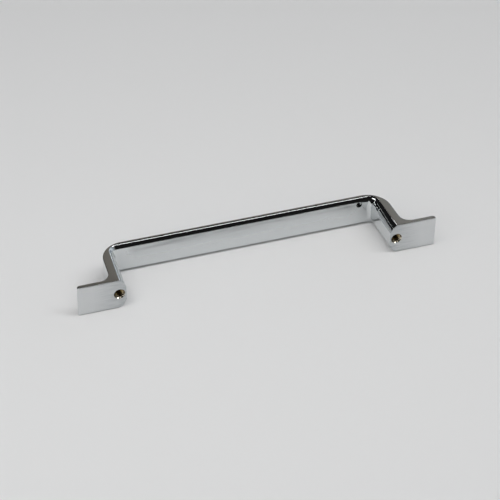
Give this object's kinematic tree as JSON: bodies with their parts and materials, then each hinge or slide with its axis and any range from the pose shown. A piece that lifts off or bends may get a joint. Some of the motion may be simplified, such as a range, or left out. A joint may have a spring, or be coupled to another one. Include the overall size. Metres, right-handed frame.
{
  "type": "bridge pull handle",
  "caption": "Chrome-plated cast bridge pull: a straight flat grip on two leaning legs, with thin feet turned outward and tapped holes for screws from behind.",
  "frame": {"origin": "on the mounting plane, midway between the two screw holes and in the middle of the strap's width", "axes": "+X along the handle, +Y square to the mounting plane and out to the grip, +Z across the strap's width; the handle lies on one long edge, as it comes to rest on a table"},
  "size_m": [0.165, 0.0256, 0.015],
  "materials": {
    "chrome_plate": "polished, with satin ground mounting faces"
  },
  "bodies": {
    "root": {"pull_handle": "chrome_plate"}
  },
  "joints": []
}
